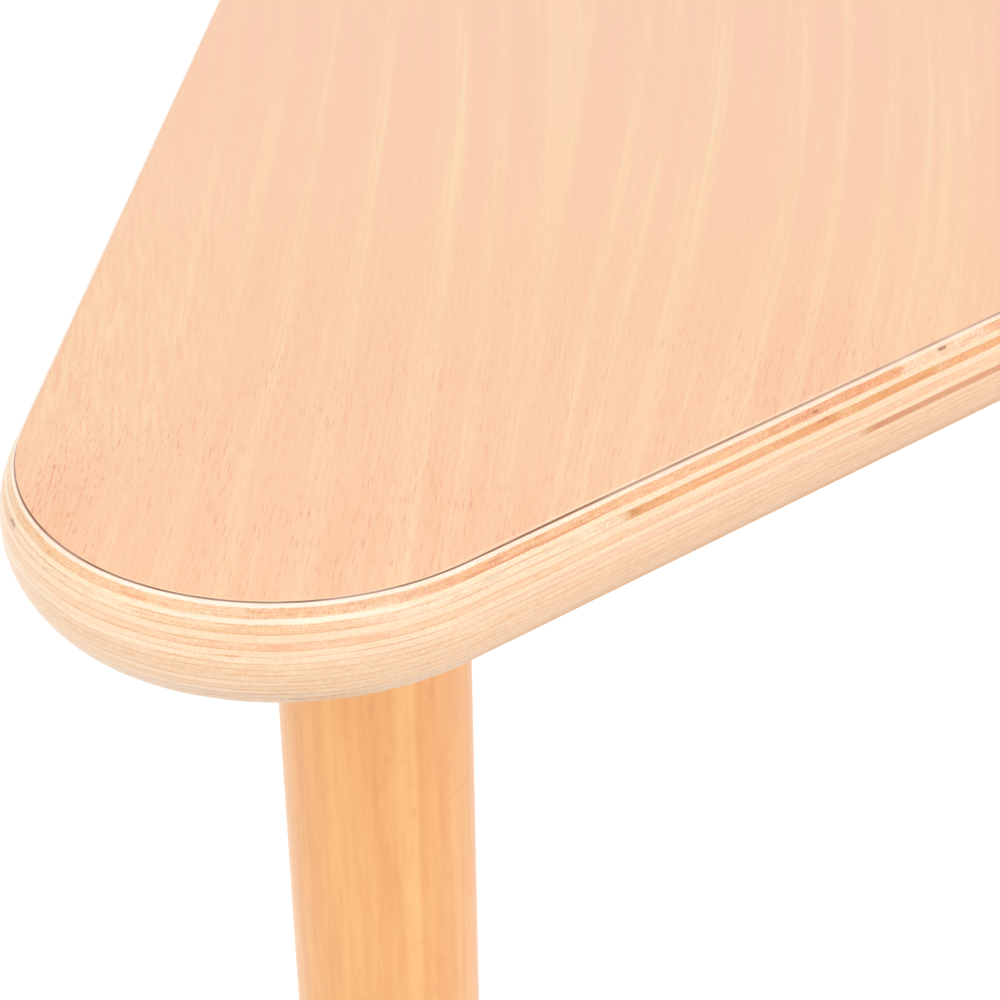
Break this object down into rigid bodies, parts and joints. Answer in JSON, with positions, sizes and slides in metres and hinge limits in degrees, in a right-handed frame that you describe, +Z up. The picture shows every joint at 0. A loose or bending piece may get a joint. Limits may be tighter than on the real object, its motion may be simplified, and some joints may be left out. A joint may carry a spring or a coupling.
{
  "type": "school table",
  "caption": "Low school table: triangular top with rounded corners, wood-look laminate on plywood with a shallow round edge, on round wooden legs.",
  "frame": {"origin": "on the floor, below the centre of the top's bounding box", "axes": "+X along the long side, +Y towards the square corner, +Z up; the pictured corner is the one at +X"},
  "size_m": [1.0268, 0.5754, 0.59],
  "materials": {
    "beech_decor": "satin wood-look laminate",
    "birch_plywood": "clear lacquered plywood edge with visible layers",
    "lacquered_beech": "clear satin lacquer",
    "zinc_plated_steel": "zinc plated",
    "grey_nylon": "matte"
  },
  "bodies": {
    "root": {"top_laminate": "beech_decor", "plywood_core": "birch_plywood", "leg_right": "lacquered_beech", "leg_plate_right": "zinc_plated_steel", "plate_nut_right": "zinc_plated_steel", "hanger_bolt_right": "zinc_plated_steel", "plate_screw_right_1": "zinc_plated_steel", "plate_screw_right_2": "zinc_plated_steel", "plate_screw_right_3": "zinc_plated_steel", "plate_screw_right_4": "zinc_plated_steel", "glide_right": "grey_nylon", "glide_screw_right": "zinc_plated_steel", "leg_rear": "lacquered_beech", "leg_plate_rear": "zinc_plated_steel", "plate_nut_rear": "zinc_plated_steel", "hanger_bolt_rear": "zinc_plated_steel", "plate_screw_rear_1": "zinc_plated_steel", "plate_screw_rear_2": "zinc_plated_steel", "plate_screw_rear_3": "zinc_plated_steel", "plate_screw_rear_4": "zinc_plated_steel", "glide_rear": "grey_nylon", "glide_screw_rear": "zinc_plated_steel", "leg_left": "lacquered_beech", "leg_plate_left": "zinc_plated_steel", "plate_nut_left": "zinc_plated_steel", "hanger_bolt_left": "zinc_plated_steel", "plate_screw_left_1": "zinc_plated_steel", "plate_screw_left_2": "zinc_plated_steel", "plate_screw_left_3": "zinc_plated_steel", "plate_screw_left_4": "zinc_plated_steel", "glide_left": "grey_nylon", "glide_screw_left": "zinc_plated_steel"}
  },
  "joints": []
}
